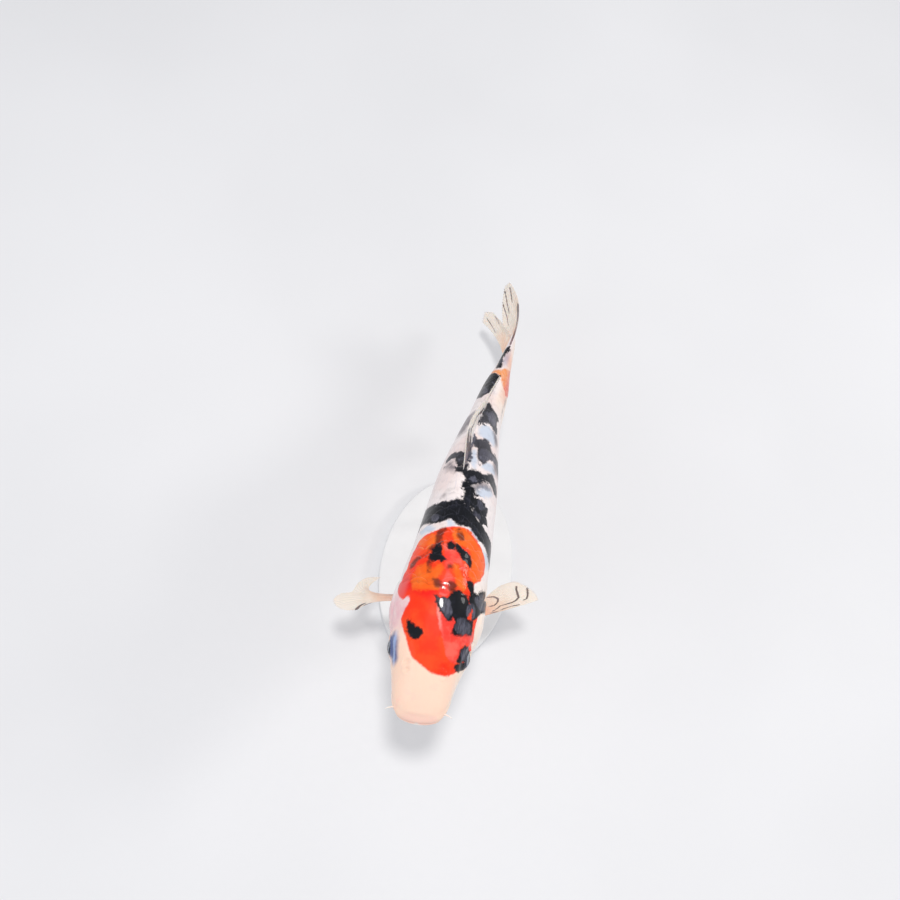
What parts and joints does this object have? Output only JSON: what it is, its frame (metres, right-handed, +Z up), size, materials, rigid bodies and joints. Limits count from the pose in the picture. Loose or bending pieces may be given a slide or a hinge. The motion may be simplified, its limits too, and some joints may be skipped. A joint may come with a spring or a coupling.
{
  "type": "koi carp",
  "caption": "Life-size koi carp in swimming pose, head up and tail fin swept to one side, with spread fins and feelers, on a flat oval display stand with slim rods.",
  "frame": {"origin": "centre of the underside of the stand's oval base", "axes": "+Z up; the head points to -Y and the tail to +Y; +X is the fish's left side"},
  "size_m": [0.1155, 0.2805, 0.1291],
  "materials": {
    "skin_head": "wet-looking smooth skin, orange red with black and cream markings",
    "skin_pale": "wet-looking smooth skin, cream to pale lavender",
    "skin_trunk": "scaled skin in black, orange and white",
    "skin_rear": "scaled skin, pinkish white with black and grey",
    "fin": "translucent pinkish white with dark streaks",
    "eye": "clear glossy dome over a silver ring and black pupil",
    "feeler": "soft pale flesh",
    "stand_paint": "pale satin paint",
    "stand_steel": "brushed"
  },
  "bodies": {
    "root": {"head": "skin_head", "lower_jaw": "skin_pale", "gill_cover_left": "skin_pale", "gill_cover_right": "skin_pale", "trunk_front": "skin_trunk", "trunk_rear": "skin_rear", "tail_stem": "skin_rear", "dorsal_fin": "fin", "anal_fin": "fin", "caudal_fin_upper": "fin", "caudal_fin_lower": "fin", "pectoral_fin_left": "fin", "pectoral_fin_right": "fin", "pelvic_fin_left": "fin", "pelvic_fin_right": "fin", "eye_left": "eye", "feeler_upper_left": "feeler", "feeler_corner_left": "feeler", "eye_right": "eye", "feeler_upper_right": "feeler", "feeler_corner_right": "feeler", "stand_base": "stand_paint", "stand_collar_front": "stand_steel", "stand_rod_front": "stand_steel", "stand_collar_rear": "stand_steel", "stand_rod_rear": "stand_steel"}
  },
  "joints": []
}
